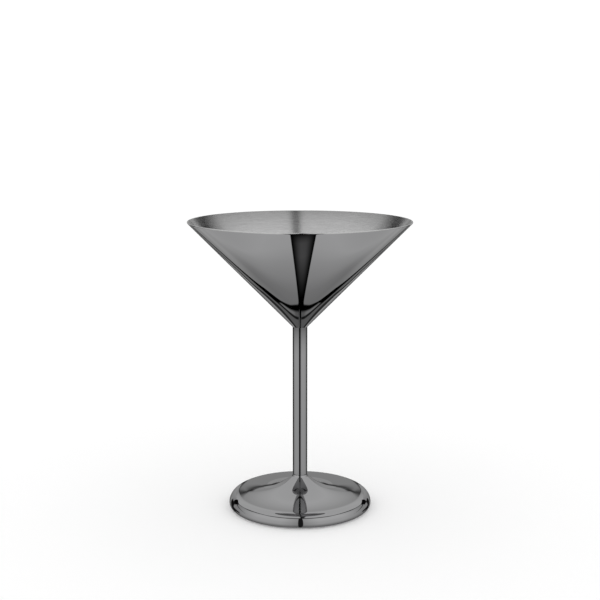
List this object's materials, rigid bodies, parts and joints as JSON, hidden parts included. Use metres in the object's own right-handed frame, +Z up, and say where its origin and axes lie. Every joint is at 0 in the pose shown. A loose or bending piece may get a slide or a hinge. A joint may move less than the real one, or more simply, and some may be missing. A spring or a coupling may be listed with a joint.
{
  "type": "martini glass",
  "caption": "Stainless steel martini glass with a conical bowl, a slim tube stem and a domed, hollow foot, in a dark polished finish.",
  "frame": {"origin": "centre of the ring that the foot stands on, at table height", "axes": "+Z up along the stem, the axis that every piece is turned about; X and Y lie on the table"},
  "size_m": [0.12, 0.12, 0.158],
  "materials": {
    "polished_gunmetal": "stainless steel under a thin dark coating, mirror polished",
    "brushed_gunmetal": "inside of the bowl: the same coating over metal brushed round the axis",
    "bare_steel": "spun satin steel, on the underside only"
  },
  "bodies": {
    "root": {"bowl": "polished_gunmetal", "bowl_weld": "polished_gunmetal", "stem_tube": "polished_gunmetal", "neck_weld": "polished_gunmetal", "foot_shell": "polished_gunmetal", "base_plate": "bare_steel"}
  },
  "joints": []
}
